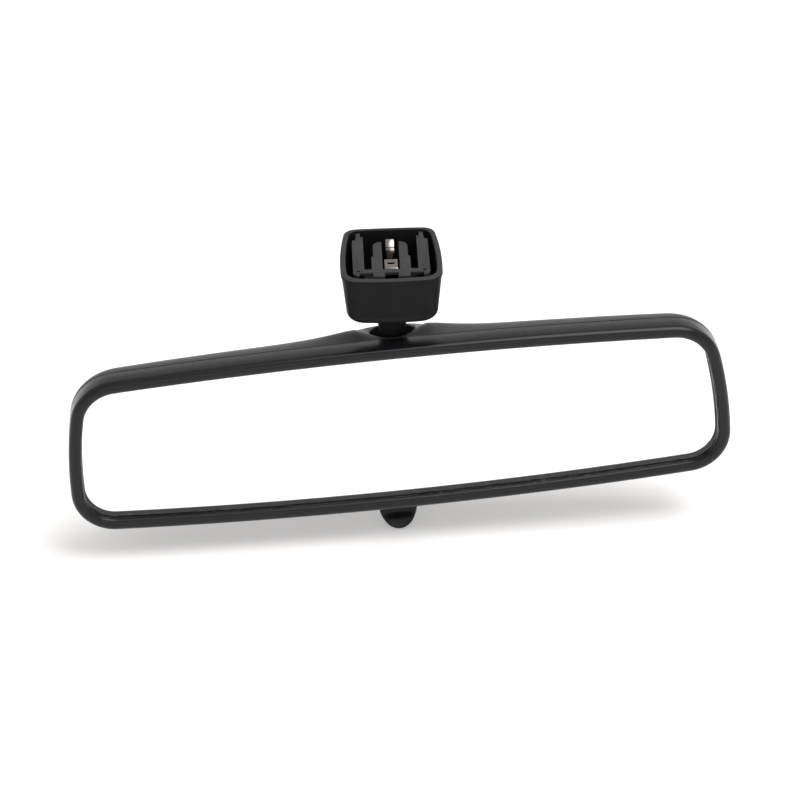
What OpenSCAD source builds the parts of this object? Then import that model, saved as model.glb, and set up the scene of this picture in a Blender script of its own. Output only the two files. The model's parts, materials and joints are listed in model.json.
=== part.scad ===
// Interior rearview mirror with a prismatic day/night glass.
// Millimetres. The origin is the centre of the foot's open rim, where the mirror meets its
// windscreen bracket, and +Z points out of that rim, along the ball stem. The glass faces -Y.
// The head hangs from the ball below the foot, turned a little to the driver.

/* [Head] */
// Width of the visible glass
glass_w = 230.5; // [210:0.5:250]
// Height of the visible glass
glass_h = 58.2; // [54:0.2:64]
// Width of the bezel all round the glass
bezel_w = 4.75; // [4.4:0.05:5.5]
// Depth of the bezel, from the glass face back to the parting line
bezel_depth = 6.2; // [6:0.1:7]
// Depth of the domed rear shell behind the parting line
shell_depth = 22.6; // [21:0.2:26]
// Wall of the rear shell
shell_wall = 2.1; // [1.8:0.1:2.4]
// Thickness of the glass at its lower edge
glass_thin = 3.2; // [3:0.1:3.4]

/* [Ball joint] */
// Radius of the ball
ball_r = 5; // [4.8:0.05:5.1]
// Distance from the foot's rim down to the ball's centre
ball_drop = 44; // [43:0.5:48]
// Distance from the glass face back to the ball's centre
ball_back = 15; // [14.8:0.1:16]
// Distance from the middle of the glass up to the ball's centre
ball_up = 20.1; // [19:0.1:21]
// Turn of the head about the stem as it stands, in degrees
head_swivel = 3; // [-10:0.5:10]
// Nod of the head as it stands, in degrees
head_tilt = -2.5; // [-5:0.5:5]
// Lean of the head's long axis as it stands, in degrees
head_roll = -2.5; // [-5:0.5:5]

/* [Day and night lever] */
// Angle that the head tips between the day and night positions, in degrees
night_tilt = 4.5; // [3.5:0.1:5]
// Angle that the lever flips between the two positions, in degrees
lever_flip = 45; // [40:1:45]
// Sideways place of the lever from the middle of the head
lever_x = -2.4; // [-4:0.1:4]
// Length of the lever from its pivot to its tip
lever_len = 21.7; // [20:0.1:24]
// Width of the lever's paddle at its shoulder
paddle_w = 14.4; // [12:0.2:14.6]

/* [Foot] */
// Width of the foot cover at its rim
foot_w = 36; // [35:0.5:38]
// Length of the foot cover at its rim, front to back
foot_len = 36.8; // [36:0.2:38]
// Height of the foot cover
foot_h = 20.5; // [20:0.5:22]
// Wall of the foot cover
foot_wall = 2.4; // [2:0.1:2.6]

/* [Hidden] */
$fn = 48;

// Outlines: [half width, top, bottom, top radius, bottom radius, side radius,
//            height of the side's widest point, upper corner radius, lower corner radius]
HEAD = [glass_w / 2, glass_h / 2, glass_h / 2, 1860, 1720, 156, -15.6, 13, 11];
FOOT = [foot_w / 2, foot_len / 2, foot_len / 2, 400, 114, 130, -5.7, 4.3, 5.6];
long_steps = 14;
side_steps = 6;
corner_steps = 7;

// Places in the head's own frame: origin at the ball's centre, glass towards -Y
glass_y = -ball_back;
mid_z = -ball_up;
parting_y = glass_y + bezel_depth;
glass_lip = 2;
wedge = asin(sin(night_tilt) / 1.52);
silver_t = 0.2;
foam_t = 1;
plate_t = 2;
glass_low = mid_z - glass_h / 2 - glass_lip;

// Ball joint
fit = 0.06;
seat_t = 0.8;
seat_r = ball_r + 0.05;
socket_r = seat_r + seat_t + fit;
cup_r = socket_r + 1.45;
barrel_r = 4.8;
neck_thin = 3.2;
neck_wide = 5.95;

// Trunnion pins, on one line with the ball's centre
trunnion_r = 1.5;
trunnion_in = 13.6;
carrier_ear = 17.4;
frame_ear = 18.2;
frame_ear_t = 3;

// Lever and fork
pivot_y = -1.5;
pivot_z = mid_z - 26.5;
lever_pin_r = 1.25;
crank_k = sin(night_tilt) / (2 * sin(lever_flip / 2));
crank_r = crank_k * -pivot_z / (1 + crank_k * cos(lever_flip / 2));
crank_y = pivot_y + crank_r * sin(lever_flip / 2);
crank_z = pivot_z + crank_r * cos(lever_flip / 2);
crank_pin_r = 1.2;
fork_slot = 2.8;
cheek_in = 3;
cheek_t = 2;
shank_t = 4.4;
hub_r = 3;
leaf_t = 0.4;
leaf_y = pivot_y + hub_r + 0.5;
detent_x = 8.5;
detent_z = pivot_z + 0.8;

// Foot
floor_z = -foot_h + 2.5;
flange_t = 2.4;
base_t = 2.2;
base_z = floor_z + flange_t + 0.1;
rail_top = -0.3;
rail_low = -9.6;
tongue_in = 3.05;
tongue_out = 6.15;
tongue_step = 0.7;
rail_in = 9.5;
rail_out = 13.5;
rail_front = -14.6;
rail_back = 13.6;
rail_end = 16.1;
tongue_back = 9;
tongue_r = 3;
tongue_t = 2.8;
bar_w = 5;
bar_t = 5.6;
screw_x = 7.5;
notch_w = 4.8;
notch_x = 8.9;
mould_x = 11.6;
base_half = 11.8;
web_in = 9.9;
step_t = 2.4;
rivet_y = -6.9;

// ---- geometry helpers ----

function arc(c, r, a0, a1, n) =
    [for (i = [0 : n - 1]) let (a = a0 + (a1 - a0) * i / n) c + r * [cos(a), sin(a)]];

// Where two circles cross; side is 1 or -1
function crossing(c1, r1, c2, r2, side) =
    let (l = norm(c2 - c1), u = (c2 - c1) / l, a = (r1 * r1 - r2 * r2 + l * l) / (2 * l),
         h = sqrt(r1 * r1 - a * a))
    c1 + a * u + side * h * [-u[1], u[0]];

function angle_of(v) = atan2(v[1], v[0]);
function flip_x(p) = [-p[0], p[1]];

// An outline of four bowed sides with tangent corner arcs, grown outwards by d
function outline(o, d) =
    let (top_c = [0, o[1] - o[3]], low_c = [0, o[4] - o[2]], side_c = [o[0] - o[5], o[6]],
         up = crossing(top_c, o[3] - o[7], side_c, o[5] - o[7], -1),
         dn = crossing(low_c, o[4] - o[8], side_c, o[5] - o[8], 1),
         a0 = angle_of(dn - side_c), a1 = angle_of(up - side_c),
         a2 = angle_of(up - top_c), a3 = angle_of(dn - low_c))
    concat(
        arc(side_c, o[5] + d, a0, a1, side_steps),
        arc(up, o[7] + d, a1, a2, corner_steps),
        arc(top_c, o[3] + d, a2, 180 - a2, long_steps),
        arc(flip_x(up), o[7] + d, 180 - a2, 180 - a1, corner_steps),
        arc(flip_x(side_c), o[5] + d, 180 - a1, 180 - a0, side_steps),
        arc(flip_x(dn), o[8] + d, 180 - a0, 180 - a3, corner_steps),
        arc(low_c, o[4] + d, 180 - a3, 360 + a3, long_steps),
        arc(dn, o[8] + d, 360 + a3, 360 + a0, corner_steps));

function quads(n, i, j, flip) =
    [for (k = [0 : n - 1]) let (m = (k + 1) % n)
        each flip
            ? [[i * n + k, j * n + m, i * n + m], [i * n + k, j * n + k, j * n + m]]
            : [[i * n + k, i * n + m, j * n + m], [i * n + k, j * n + m, j * n + k]]];

// Skin through rings of points that close on themselves, like the bezel's section
module ring_sweep(rings) {
    n = len(rings[0]);
    m = len(rings);
    polyhedron([for (r = rings) each r],
        [for (i = [0 : m - 1]) each quads(n, i, (i + 1) % m, false)]);
}

// Skin through rings of points, closed by a point at each end
module fan_loft(rings, first, last, flip = false) {
    n = len(rings[0]);
    m = len(rings);
    a = n * m;
    fans = [for (k = [0 : n - 1]) let (j = (k + 1) % n)
        each [[a, k, j], [a + 1, (m - 1) * n + j, (m - 1) * n + k]]];
    polyhedron(concat([for (r = rings) each r], [first, last]),
        concat([for (i = [0 : m - 2]) each quads(n, i, i + 1, !flip)],
            flip ? [for (f = fans) [f[0], f[2], f[1]]] : fans));
}

function smooth(t) = let (u = min(1, max(0, t))) u * u * (3 - 2 * u);

// A flat plate behind the glass, its two faces sloping with the glass's wedge or upright
module glass_plate(d, y0, slope0, y1, slope1) {
    pts = outline(HEAD, d);
    front = [for (p = pts) let (z = p[1] + mid_z) [p[0], y0 + slope0 * (z - glass_low), z]];
    back = [for (p = pts) let (z = p[1] + mid_z) [p[0], y1 + slope1 * (z - glass_low), z]];
    fan_loft([front, back],
        [0, y0 + slope0 * (mid_z - glass_low), mid_z],
        [0, y1 + slope1 * (mid_z - glass_low), mid_z], flip = true);
}

// Moves pieces from the ball's centre to where the head stands under the foot
module in_head() {
    translate([0, 0, -ball_drop]) rotate([0, 0, head_swivel]) rotate([head_tilt, 0, 0])
        rotate([0, head_roll, 0]) children();
}

// Places pieces on the sloping plane behind the foam, X across, Z up, Y away from the driver
plate_y = glass_y + glass_thin + silver_t + foam_t;
module on_plate() {
    translate([0, plate_y, glass_low]) rotate([-wedge, 0, 0]) children();
}

module rod_x(r, x0, x1) { translate([x0, 0, 0]) rotate([0, 90, 0]) cylinder(r = r, h = x1 - x0); }
module rod_y(r, y0, y1) { translate([0, y0, 0]) rotate([-90, 0, 0]) cylinder(r = r, h = y1 - y0); }
module block(x0, x1, y0, y1, z0, z1) {
    translate([x0, y0, z0]) cube([x1 - x0, y1 - y0, z1 - z0]);
}
module both_sides() { children(); mirror([1, 0, 0]) children(); }

// ---- foot: the root body ----

// Rings of the foot cover as [scale of the rim's outline, height]
bottom_r = 5;
inner_r = 2.5;
side_in = 1.6;
// The rim's wall is thinner at the back, by this share of the outline
back_thin = 0.05;
cover_outer = concat(
    [[1 - 0.6 / (foot_w / 2), 0], [1, -0.6]],
    [for (a = [0 : 15 : 90])
        [1 - (side_in + bottom_r * (1 - cos(a))) / (foot_w / 2), -foot_h + bottom_r * (1 - sin(a))]]);
cover_inner = [for (a = [90 : -22.5 : 0])
    [1 - (side_in + foot_wall + inner_r * (1 - cos(a))) / (foot_w / 2),
     floor_z + inner_r * (1 - sin(a))]];
function foot_ring(k, z, back = 0) =
    [for (p = outline(FOOT, 0)) [p[0] * k, p[1] * (p[1] > 0 ? k + back : k), z]];

module foot_cover() {
    inner_rim = 1 - foot_wall / (foot_w / 2);
    rings = concat(
        [for (r = cover_inner) foot_ring(r[0], r[1])],
        [foot_ring(inner_rim, -2, back_thin), foot_ring(inner_rim + 0.02, 0, back_thin)],
        [for (r = cover_outer) foot_ring(r[0], r[1])]);
    color([0.15, 0.15, 0.15]) difference() {
        fan_loft(rings, [0, 0, floor_z], [0, 0, -foot_h], flip = true);
        translate([0, 0, -foot_h - 1]) cylinder(r = neck_wide + 0.2, h = 4);
        both_sides() translate([screw_x, 0, floor_z - 1.6]) cylinder(r = 1.2, h = 2);
    }
}

// What lies inside the cover's rim outline scaled by k, above z0
module inside_cover(k, z0) {
    intersection() {
        children();
        translate([0, 0, z0]) linear_extrude(foot_h) polygon([for (p = outline(FOOT, 0)) p * k]);
    }
}

// Carrier of the two rails and two tongues that slide onto the windscreen bracket
module rail_insert() {
    color([0.29, 0.29, 0.29]) difference() {
        union() {
            block(-base_half, base_half, -base_half, base_half, base_z, base_z + base_t);
            both_sides() block(web_in, base_half, -base_half, base_half, base_z, rail_low + 0.1);
            inside_cover(0.8, rail_low) union() {
                both_sides() rail_and_tongue();
                block(-rail_out, rail_out, rail_front, rail_front + bar_w, rail_top - bar_t, rail_top);
            }
            inside_cover(0.855, rail_top - step_t) both_sides()
                block(rail_out - 3, rail_out - 1.5, rail_back - 3.1, rail_end, rail_top - step_t,
                    rail_top - 0.1);
        }
        // Notches in the front bar, undercut below its top skin, and mould pin holes
        for (x = [-notch_x, 0, notch_x]) {
            block(x - notch_w / 2, x + notch_w / 2, rail_front - 1, rail_front + 2.6, rail_low, 1);
            block(x - notch_w / 2, x + notch_w / 2, rail_front, rail_front + bar_w + 0.1, rail_low,
                rail_top - 1.1);
        }
        both_sides() translate([mould_x, rail_front + 3.8, rail_top - 3]) cylinder(r = 0.65, h = 4);
        both_sides() translate([screw_x, 0, base_z - 1]) cylinder(r = 1.25, h = base_t + 2);
        translate([0, rivet_y, base_z - 1]) cylinder(r = 1, h = base_t + 2);
    }
}

// Right-hand rail with its stepped back end, and the round-ended tongue beside it
module rail_and_tongue() {
    rail_step = rail_back - 3;
    tongue_z = rail_top - tongue_t;
    tongue_end = tongue_back - tongue_r;
    block(rail_in, rail_out, rail_front, rail_step, rail_low, rail_top);
    block(rail_in, rail_out - 1.3, rail_step - 0.1, rail_back, rail_low, rail_top - 0.5);
    block(tongue_in, tongue_out, rail_front + 1, tongue_end, tongue_z, rail_top);
    block(tongue_in, tongue_out + tongue_step, rail_front + 1, -1, tongue_z, rail_top);
    intersection() {
        block(tongue_in, tongue_out, tongue_end - 0.1, tongue_back + 1, tongue_z, rail_top);
        translate([tongue_out - tongue_r, tongue_end, tongue_z]) cylinder(r = tongue_r, h = tongue_t);
    }
}

// Outline of a strip of thickness t bent along a path, its corners mitred
function strip_side(path, t) = [for (i = [0 : len(path) - 1])
    let (a = path[max(0, i - 1)], b = path[i], c = path[min(len(path) - 1, i + 1)],
         u = b == a ? (c - b) / norm(c - b) : (b - a) / norm(b - a),
         v = c == b ? u : (c - b) / norm(c - b), m = u + v)
    b + t * [-m[1], m[0]] / (1 + u * v)];
function strip(path, t) =
    let (p = strip_side(path, t / 2), q = strip_side(path, -t / 2), n = len(path))
    concat(p, [for (i = [n - 1 : -1 : 0]) q[i]]);

// Bent steel strip that grips the bracket's button
clip_w = 4.6;
clip_tail_w = 3;
clip_t = 0.6;
clip_leg = -9.1;
clip_top = -0.95;
clip_base = base_z + base_t;
clip_path = [[clip_leg, clip_base], [clip_leg, clip_top - 1], [clip_leg + 0.9, clip_top],
    [-2.9, clip_top], [-1.9, -4.4], [-0.4, -7.4], [4.8, -7.4], [6.8, -3.5], [8, -2.8], [9, -3.7],
    [10.1, -2.3], [11.8, -1.4], [12.6, -2.9]];
module spring_clip() {
    color([0.7, 0.7, 0.68]) difference() {
        union() {
            translate([-clip_w / 2, 0, 0]) rotate([90, 0, 90]) linear_extrude(clip_w)
                polygon(strip(clip_path, clip_t));
            block(-clip_w / 2, clip_w / 2, clip_leg - 0.1, rivet_y + 1.7, clip_base, clip_base + clip_t);
        }
        both_sides() block(clip_tail_w / 2, clip_w, -1.7, rail_end, -10, 0);
        // Slot across the front plate
        both_sides() translate([0.6, -5.3, clip_top - 2]) cylinder(r = 0.7, h = 3);
        block(-0.6, 0.6, -6, -4.6, clip_top - 2, 0);
        translate([0, rivet_y, base_z]) cylinder(r = 1, h = 6);
    }
}
module clip_rivet() {
    color([0.6, 0.6, 0.6]) translate([0, rivet_y, 0]) {
        translate([0, 0, clip_base + clip_t]) cylinder(r = 1.4, h = 0.7);
        translate([0, 0, base_z]) cylinder(r = 1, h = base_t + clip_t + 0.2);
    }
}

// Die-cast stem: flange inside the foot, flared neck, ball
neck_top = ball_drop + floor_z + 1;
neck_a = asin(neck_thin / ball_r);
neck_side = [[neck_wide, neck_top], [neck_wide, 21], [neck_wide - 0.35, 17.6], [neck_wide - 1.05, 14.6],
    [neck_wide - 1.55, 11.2], [neck_thin + 0.6, 8.4], [neck_thin + 0.1, 6.6],
    [neck_thin, ball_r * cos(neck_a)]];
module ball_stem() {
    ball_steps = 24;
    color([0.13, 0.13, 0.13]) difference() {
        union() {
            translate([-10, -8.5, floor_z]) cube([20, 17, flange_t]);
            translate([0, 0, -ball_drop]) rotate_extrude($fn = 64) polygon(concat(
                [[0, neck_top]], neck_side,
                [for (i = [1 : ball_steps]) let (a = neck_a + (180 - neck_a) * i / ball_steps)
                    ball_r * [sin(a), cos(a)]]));
        }
        both_sides() translate([screw_x, 0, floor_z - 1]) cylinder(r = 1.25, h = flange_t + 2);
    }
}

module stem_screws() {
    color([0.55, 0.55, 0.55]) both_sides() translate([screw_x, 0, 0])
        screw_z(1.2, 2.2, base_z + base_t, floor_z - 1.6);
}

// Screw standing along Z, its head's seat at z1 and its tip at z0
module screw_z(r, head_r, z1, z0) {
    difference() {
        union() {
            translate([0, 0, z0]) cylinder(r = r, h = z1 - z0 + 0.1);
            translate([0, 0, z1]) cylinder(r = head_r, h = 1.5);
        }
        translate([0, 0, z1 + 0.7]) for (a = [0, 90]) rotate([0, 0, a])
            translate([-head_r * 0.65, -0.25, 0]) cube([head_r * 1.3, 0.5, 1]);
    }
}

// ---- ball seats and socket ----

// A ring cut from a hollow sphere between two angles down from its top
module sphere_zone(r_in, r_out, a0, a1) {
    steps = 12;
    rotate_extrude($fn = 64) polygon(concat(
        [for (i = [0 : steps]) let (a = a0 + (a1 - a0) * i / steps) r_out * [sin(a), cos(a)]],
        [for (i = [steps : -1 : 0]) let (a = a0 + (a1 - a0) * i / steps) r_in * [sin(a), cos(a)]]));
}

module upper_ball_seat() {
    color([0.85, 0.83, 0.76]) translate([0, 0, -ball_drop]) rotate([0, 0, head_swivel])
        sphere_zone(seat_r, seat_r + seat_t, 48, 82);
}

module lower_ball_seat() {
    color([0.85, 0.83, 0.76]) translate([0, 0, -ball_drop]) rotate([0, 0, head_swivel])
        rotate([head_tilt, 0, 0]) sphere_zone(seat_r, seat_r + seat_t, 98, 146);
}

// Socket cup with a spring barrel, two lugs with trunnion ears, and the arm down to the fork
barrel_low = -18.5;
arm_w = 5;
arm_t = 4;
module carrier_bracket() {
    open_a = asin(barrel_r / socket_r);
    color([0.2, 0.2, 0.2]) in_head() difference() {
        union() {
            rotate_extrude($fn = 64) polygon(concat(
                [[cup_r, 0], [socket_r, 0]],
                [for (i = [1 : 8]) let (a = 90 + (90 - open_a) * i / 8) socket_r * [sin(a), cos(a)]],
                [[barrel_r, barrel_low], [barrel_r + 1.7, barrel_low], [barrel_r + 1.7, -8],
                 [cup_r, -5.2]]));
            both_sides() {
                difference() {
                    block(cup_r - 1, carrier_ear, -4, 4, -7, 0);
                    translate([10.2, 0, -6]) cylinder(r = 1.15, h = 7);
                }
                rod_x(3.4, trunnion_in, carrier_ear);
            }
            difference() {
                block(lever_x - arm_w / 2, -lever_x + arm_w / 2, -5, 5, barrel_low, barrel_low + 5);
                translate([0, 0, barrel_low - 1]) cylinder(r = barrel_r + 0.5, h = 8);
            }
            difference() {
                block(lever_x - arm_w / 2, lever_x + arm_w / 2, -arm_t / 2, barrel_r + 2,
                    barrel_low - 6, barrel_low + 4);
                translate([0, 0, barrel_low - 7]) cylinder(r = barrel_r + 0.5, h = 12);
            }
            block(lever_x - arm_w / 2, lever_x + arm_w / 2, -arm_t / 2, barrel_r + 2,
                barrel_low - 9, barrel_low - 4);
            block(lever_x - arm_w / 2, lever_x + arm_w / 2, -arm_t / 2, arm_t / 2, crank_z + 3,
                barrel_low - 4);
            block(lever_x - arm_w / 2, lever_x + arm_w / 2, crank_y - 3.4, crank_y + 3.4,
                crank_z - 1.9, crank_z + 5);
        }
        both_sides() rod_x(trunnion_r, trunnion_in - 1, carrier_ear + 1);
        block(lever_x - arm_w, lever_x + arm_w, crank_y - fork_slot / 2, crank_y + fork_slot / 2,
            crank_z - 6, crank_z + 2);
    }
}

module socket_cap() {
    cap_h = 5.2;
    open_a = 53;
    color([0.2, 0.2, 0.2]) in_head() difference() {
        union() {
            rotate_extrude($fn = 64) polygon(concat(
                [for (i = [0 : 8]) let (a = 90 - (90 - open_a) * i / 8) socket_r * [sin(a), cos(a)]],
                [[5.9, cap_h], [6.5, cap_h], [cup_r, 2.6], [cup_r, 0]]));
            both_sides() block(cup_r - 1, 13.2, -4, 4, 0.02, 2.4);
        }
        both_sides() translate([10.2, 0, -1]) cylinder(r = 1.3, h = 5);
    }
}

module cap_screws() {
    color([0.55, 0.55, 0.55]) in_head() both_sides() translate([10.2, 0, 0]) screw_z(1.15, 2, 2.4, -5.8);
}

pad_low = -9;
module pressure_pad() {
    open_a = asin((barrel_r - 0.1) / socket_r);
    color([0.9, 0.9, 0.86]) in_head() rotate_extrude($fn = 64) polygon(concat(
        [for (i = [0 : 8]) let (a = 180 - open_a + open_a * i / 8) socket_r * [sin(a), cos(a)]],
        [[0, pad_low], [barrel_r - 0.1, pad_low]]));
}

// Round wire coil along Z, from z0 to z1
coil_wire = 0.55;
coil_r = 3.5;
coil_turns = 3.5;
coil_steps = 18;
coil_sides = 8;
plug_top = -15;
module pressure_spring() {
    z0 = plug_top + coil_wire;
    z1 = pad_low - coil_wire;
    total = round(coil_turns * coil_steps);
    rings = [for (i = [0 : total]) let (a = 360 * i / coil_steps, z = z0 + (z1 - z0) * i / total)
        [for (k = [0 : coil_sides - 1]) let (b = 360 * k / coil_sides, r = coil_r + coil_wire * cos(b))
            [r * cos(a), r * sin(a), z + coil_wire * sin(b)]]];
    end_a = 360 * total / coil_steps;
    color([0.7, 0.7, 0.7]) in_head()
        fan_loft(rings, [coil_r, 0, z0], [coil_r * cos(end_a), coil_r * sin(end_a), z1], flip = true);
}

module spring_plug() {
    color([0.62, 0.58, 0.42]) in_head() difference() {
        translate([0, 0, barrel_low + 0.3]) cylinder(r = barrel_r - 0.05, h = plug_top - barrel_low - 0.3);
        translate([0, 0, barrel_low]) cylinder(r = 2.3, h = 2.4, $fn = 6);
    }
}

module pivot_pins() {
    color([0.75, 0.75, 0.75]) in_head() both_sides()
        rod_x(trunnion_r, trunnion_in + 0.1, frame_ear + frame_ear_t + 0.8);
}

// ---- head: the moving housing ----

function head_ring(d, y) = [for (p = outline(HEAD, d)) [p[0], y, p[1] + mid_z]];

// Section of the bezel as [distance out from the glass opening, distance behind the glass face]
lip_r = bezel_w / 2;
tongue = 0.9;
bezel_section = concat(
    [for (a = [180 : -22.5 : 0]) [lip_r + lip_r * cos(a), -0.1 - lip_r * sin(a)]],
    [[bezel_w, bezel_depth - 0.2], [3.6, bezel_depth - 0.2], [3.4, bezel_depth + tongue],
     [2.3, bezel_depth + tongue], [2.3, 0]]);

module front_bezel() {
    color([0.17, 0.17, 0.17]) in_head()
        ring_sweep([for (s = bezel_section) head_ring(s[0], glass_y + s[1])]);
}

// One ring of the rear shell's dome: d out from the opening, a = 0 at the parting line, 90 at the back
end_taper = 0.25;
neck_rise = 4;
neck_bulge = 3;
saddle = 5.8;
saddle_y = 9;
collar_rise = 8.9;
collar_y = 19.9;
function spread(v, w, p = 2) = exp(-pow(abs(v / w), p));
function dome_ring(d, depth, a) =
    [for (p = outline(HEAD, d))
        let (s = cos(a), x = p[0] * pow(s, 0.3), z = p[1] * s,
             back = depth * (1 - end_taper * pow(x / (glass_w / 2), 2)) + neck_bulge * spread(x, 26),
             y = back * sin(a),
             rise = neck_rise * spread(x, 21) * smooth(y / 9)
                 - saddle * spread(x, 9.9, 4) * spread(y - saddle_y, 5)
                 + collar_rise * spread(x, 26, 4) * spread(y - collar_y, 3.6))
        [x, parting_y + y, mid_z + z + rise * pow(max(0, z / 34), 2)]];

boss_x = 48;
boss_low = 18;
boss_high = 44;
module rear_shell() {
    outer = [for (a = [86, 80, 73, 66, 58, 50, 42, 34, 27, 20, 14, 8, 4, 0])
        dome_ring(bezel_w, shell_depth, a)];
    inner = [for (a = [4.4, 8, 14, 20, 27, 34, 42, 50, 58, 66, 73, 80, 86])
        dome_ring(bezel_w - shell_wall, shell_depth - shell_wall, a)];
    rabbet = [head_ring(3.75, parting_y + 0.05), head_ring(3.75, parting_y + tongue + 0.3)];
    color([0.38, 0.37, 0.36]) in_head() difference() {
        union() {
            fan_loft(concat(outer, rabbet, inner), [0, parting_y + shell_depth + neck_bulge, mid_z],
                [0, parting_y + shell_depth + neck_bulge - shell_wall, mid_z]);
            on_plate() for (x = [-boss_x, boss_x], z = [boss_low, boss_high])
                translate([x, 0, z]) rod_y(2.6, plate_t + 0.05, 20.05 - 0.033 * z);
        }
        translate([0.6, 0.4, 4]) cylinder(r = 8.8, h = 20);
        block(lever_x - 8, lever_x + 8, parting_y + 1.5, 3.6, glass_low - 6, glass_low + 8);
        on_plate() for (x = [-boss_x, boss_x], z = [boss_low, boss_high])
            translate([x, 0, z]) rod_y(1.2, -1, 10);
    }
}

module prism_glass() {
    color([0.75, 0.8, 0.82]) in_head()
        glass_plate(glass_lip, glass_y, 0, glass_y + glass_thin, tan(wedge));
}

module mirror_silvering() {
    y = glass_y + glass_thin;
    color([0.85, 0.85, 0.85]) in_head()
        glass_plate(glass_lip, y, tan(wedge), y + silver_t, tan(wedge));
}

// Foam sheet stuck between the glass and the frame, open around the socket
module foam_backing() {
    w = 190;
    h = 44;
    color([0.12, 0.12, 0.12]) in_head() on_plate() difference() {
        block(-w / 2, w / 2, -foam_t * cos(wedge) + 0.005, 0, 8, 8 + h);
        block(-14, 14, -foam_t - 1, 1, 40, 60);
    }
}

// Plate behind the foam with ears for the trunnions and the lever, and a bridge for the stops
plate_w = 116;
plate_low = 5;
plate_high = 56;
rib_h = 2.4;
stop_z = -32;
stop_gap = 0.15;
function plate_back(z) = plate_y + plate_t + (z - glass_low) * tan(wedge);
module mechanism_frame() {
    ear_x = cheek_in + cheek_t + 0.4;
    color([0.25, 0.25, 0.25]) in_head() difference() {
        union() {
            on_plate() difference() {
                union() {
                    block(-plate_w / 2, plate_w / 2, 0, plate_t, plate_low, plate_high);
                    for (z = [24, 38])
                        block(-plate_w / 2, plate_w / 2, plate_t - 0.1, plate_t + rib_h, z, z + 1.6);
                    for (x = [-56, -34, 34, 56])
                        block(x - 0.8, x + 0.8, plate_t - 0.1, plate_t + rib_h, 9, 52);
                }
                block(-frame_ear + 0.3, frame_ear - 0.3, -1, plate_t + 4, 37, 70);
                block(lever_x - ear_x, lever_x + ear_x, -1, plate_t + 4, 0, 17);
                block(-10, 10, -1, plate_t + 4, 25, 45);
                for (x = [-boss_x, boss_x], z = [boss_low, boss_high]) translate([x, 0, z]) {
                    rod_y(1.4, -1, plate_t + 1);
                    translate([0, -0.01, 0]) rotate([-90, 0, 0]) cylinder(r1 = 2.7, r2 = 1.55, h = 1.15);
                }
            }
            both_sides() {
                rod_x(3.4, frame_ear, frame_ear + frame_ear_t);
                block(frame_ear, frame_ear + frame_ear_t, plate_back(0) - 1, 0, -3, 3);
                block(frame_ear + 0.2, frame_ear + frame_ear_t - 0.2, plate_back(-10) - 1, -1.8, -12, 2);
            }
            translate([lever_x, 0, 0]) both_sides() {
                translate([0, pivot_y, pivot_z]) rod_x(2.6, ear_x, ear_x + 2.5);
                block(ear_x, ear_x + 2.5, plate_back(pivot_z) - 1, pivot_y, pivot_z - 0.5, pivot_z + 2.1);
                block(ear_x + 0.2, ear_x + 2.3, plate_back(-40) - 1, -3.2, pivot_z + 1.2, -38);
            }
            // Bridge over the carrier's arm
            block(1.5, 3.5, plate_back(stop_z) - 1, 6, stop_z - 2, stop_z + 2);
            block(lever_x - 2.2, 3.4, 4.4, 5.9, stop_z - 1.9, stop_z + 1.9);
            // Post for the detent spring
            block(detent_x - 2, detent_x + 2, plate_back(detent_z) - 1, leaf_y, detent_z - 1.2,
                detent_z + 1.2);
        }
        rod_x(trunnion_r + 0.05, -30, 30);
        translate([lever_x, pivot_y, pivot_z]) rod_x(lever_pin_r, -8.4, 8.4);
        translate([detent_x, 0, detent_z]) rod_y(0.9, -2, 3);
    }
}

module frame_screws() {
    color([0.55, 0.55, 0.55]) in_head() on_plate()
        for (x = [-boss_x, boss_x], z = [boss_low, boss_high]) translate([x, 0, z]) difference() {
            union() {
                rod_y(1.2, 0.3, 9.5);
                rotate([-90, 0, 0]) cylinder(r1 = 2.6, r2 = 1.2, h = 1.2);
            }
            for (a = [0, 90]) rotate([0, a, 0]) block(-1.5, 1.5, -1, 0.6, -0.22, 0.22);
        }
}

module lever_pin() {
    color([0.75, 0.75, 0.75]) in_head() translate([lever_x, pivot_y, pivot_z])
        rod_x(lever_pin_r, -8.2, 8.2);
}

// Leaf that presses on the back of the lever's hub and snaps it into either position
module detent_spring() {
    color([0.7, 0.7, 0.68]) in_head() difference() {
        block(lever_x + cheek_in + 0.2, detent_x + 2, leaf_y, leaf_y + leaf_t, detent_z - 1.1,
            detent_z + 1.1);
        translate([detent_x, 0, detent_z]) rod_y(0.95, 0, 6);
    }
}

module detent_screw() {
    color([0.55, 0.55, 0.55]) in_head() translate([detent_x, 0, detent_z]) {
        rod_y(0.9, leaf_y - 3.5, leaf_y + leaf_t + 0.1);
        rod_y(1.2, leaf_y + leaf_t, leaf_y + leaf_t + 0.6);
    }
}

module stop_bumpers() {
    swing = -stop_z * sin(night_tilt);
    color([0.08, 0.08, 0.08]) in_head() translate([lever_x, 0, stop_z]) {
        rod_y(1.8, plate_back(stop_z) + 0.12, -arm_t / 2 - swing - stop_gap);
        rod_y(1.8, arm_t / 2 + stop_gap, 4.4);
    }
}

// ---- lever ----

// Paddle as seen from the driver, hanging from its shoulder down to a round tip
module paddle_front() {
    tip_r = 4;
    shoulder = 8;
    hull() {
        translate([-paddle_w / 2, -shoulder - 3]) square([paddle_w, 3]);
        translate([0, -lever_len + tip_r]) circle(r = tip_r, $fn = 32);
    }
}

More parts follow.
